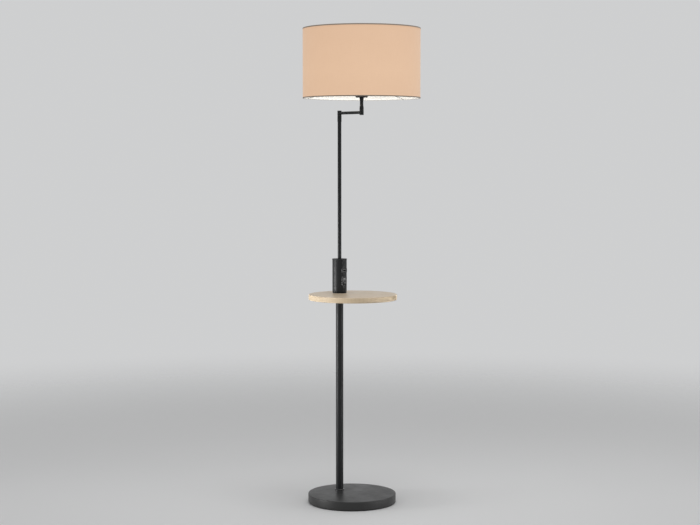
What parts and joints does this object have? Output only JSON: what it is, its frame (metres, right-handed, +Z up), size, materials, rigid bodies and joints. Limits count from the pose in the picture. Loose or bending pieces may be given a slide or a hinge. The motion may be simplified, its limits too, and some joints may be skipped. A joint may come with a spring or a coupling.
{
  "type": "floor lamp with table",
  "caption": "Black floor lamp with a round wooden table on its pole, a switch and charging console, and a drum shade on a short swivelling arm.",
  "frame": {"origin": "middle of the base where the lamp stands on the floor", "axes": "+Z up; -Y is the front, the side of the switch and the charging socket, and the way the table and arm reach from the pole; +X is the lamp's left seen from the front"},
  "size_m": [0.3919, 0.3955, 1.6],
  "materials": {
    "black_powder_coat": "satin",
    "black_trim": "gloss",
    "cast_weight": "rough",
    "foot_foam": "matte",
    "zinc_hardware": "satin",
    "pale_wood": "satin",
    "black_plastic": "matte",
    "rocker_plastic": "gloss",
    "contact_brass": "satin",
    "socket_shell": "satin",
    "socket_tongue": "matte",
    "circuit_board": "satin",
    "converter_case": "matte",
    "nylon_washer": "matte",
    "lead_jacket": "matte",
    "holder_plastic": "matte",
    "white_wire": "satin",
    "shade_fabric": "woven",
    "shade_liner": "matte",
    "bulb_cap_metal": "satin",
    "bulb_housing": "satin",
    "opal_glass": "opal"
  },
  "bodies": {
    "root": {"foot_ring": "foot_foam", "base_weight": "cast_weight", "base_cover": "black_powder_coat", "cable_grommet": "black_plastic", "foot_nipple": "zinc_hardware", "foot_washer": "zinc_hardware", "clamp_nuts": "zinc_hardware", "pole_foot_ring": "black_trim", "lower_tube": "black_powder_coat", "tube_foot_plug": "zinc_hardware", "tube_head_plug": "zinc_hardware", "table_top": "pale_wood", "table_nipple": "zinc_hardware", "upper_tube": "black_powder_coat", "pole_top_fitting": "black_powder_coat", "console_housing": "black_powder_coat", "console_foot": "black_powder_coat", "console_cap": "black_powder_coat", "cap_nipple": "zinc_hardware", "switch_frame": "black_plastic", "switch_body": "black_plastic", "switch_terminals": "contact_brass", "usb_frame": "black_plastic", "usb_shell": "socket_shell", "usb_tongue": "socket_tongue", "usb_board": "circuit_board", "usb_converter": "converter_case", "pole_pivot": "zinc_hardware", "pole_pivot_washer": "nylon_washer", "lead_upper": "lead_jacket"},
    "arm": {"arm_knuckle_pole": "black_powder_coat", "arm_knuckle_pole_cap": "black_powder_coat", "arm_tube": "black_powder_coat", "arm_knuckle_head": "black_powder_coat", "arm_knuckle_head_cap": "black_powder_coat", "head_pivot_washer": "nylon_washer", "lead_arm": "lead_jacket"},
    "head": {"head_pivot": "zinc_hardware", "head_stem": "black_powder_coat", "holder_cup": "black_powder_coat", "holder_nut": "zinc_hardware", "holder_core": "holder_plastic", "holder_contacts": "contact_brass", "holder_skirt": "holder_plastic", "shade_ring_lower": "holder_plastic", "shade_ring_upper": "holder_plastic", "bulb_cap": "bulb_cap_metal", "bulb_base": "bulb_housing", "bulb_globe": "opal_glass", "shade_carrier": "white_wire", "shade_fabric": "shade_fabric", "shade_liner": "shade_liner", "shade_hem_bottom": "shade_fabric", "shade_hem_top": "shade_fabric", "shade_top_ring": "white_wire", "lead_head": "lead_jacket"},
    "rocker": {"rocker": "rocker_plastic"}
  },
  "joints": [
    {"name": "arm_swivel", "type": "hinge", "parent": "root", "child": "arm", "pos_m": [0, 0.0645, 1.3216], "axis": [0, 0, 1], "range_deg": [-165, 165]},
    {"name": "head_swivel", "type": "hinge", "parent": "arm", "child": "head", "pos_m": [0, -0.0485, 1.3216], "axis": [0, 0, 1], "range_deg": [-165, 165]},
    {"name": "switch_rock", "type": "hinge", "parent": "root", "child": "rocker", "pos_m": [0, 0.0441, 0.752], "axis": [1, 0, 0], "range_deg": [0, 16]}
  ]
}
